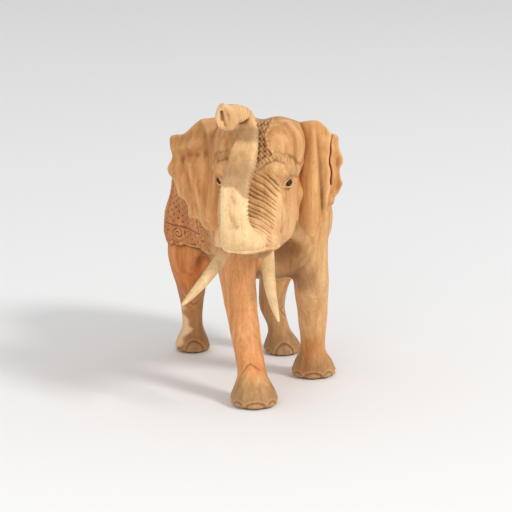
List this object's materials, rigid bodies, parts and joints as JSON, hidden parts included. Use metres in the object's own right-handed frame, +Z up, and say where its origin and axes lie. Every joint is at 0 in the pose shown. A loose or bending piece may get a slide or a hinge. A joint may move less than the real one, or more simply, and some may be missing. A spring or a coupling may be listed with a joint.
{
  "type": "carved wooden elephant",
  "caption": "Hand-carved wooden elephant walking with its trunk raised, with inset pale tusks and glass eyes, free standing on flat soles.",
  "frame": {"origin": "on the floor, under the middle of the whole carving's bounding box", "axes": "-Y is the way the elephant walks, +X is its left, +Z is up"},
  "size_m": [0.3539, 0.5991, 0.5176],
  "materials": {
    "body_wood": "hand-carved, sanded and lightly waxed orange-tan hardwood",
    "trunk_wood": "hand-carved, lightly waxed pale sapwood of the same timber",
    "tusk_wood": "smooth straw-coloured wood",
    "eye_glass": "polished near-black glass",
    "dowel_wood": "plain turned dowel"
  },
  "bodies": {
    "root": {"torso": "body_wood", "head": "body_wood", "trunk": "trunk_wood", "ear_right": "body_wood", "ear_left": "body_wood", "tusk_right": "tusk_wood", "tusk_left": "tusk_wood", "eye_right": "eye_glass", "eye_left": "eye_glass", "leg_front_right": "body_wood", "leg_front_left": "body_wood", "leg_hind_right": "body_wood", "leg_hind_left": "body_wood", "neck_dowels": "dowel_wood", "trunk_dowels": "dowel_wood", "ear_dowels": "dowel_wood", "leg_dowels": "dowel_wood"}
  },
  "joints": []
}
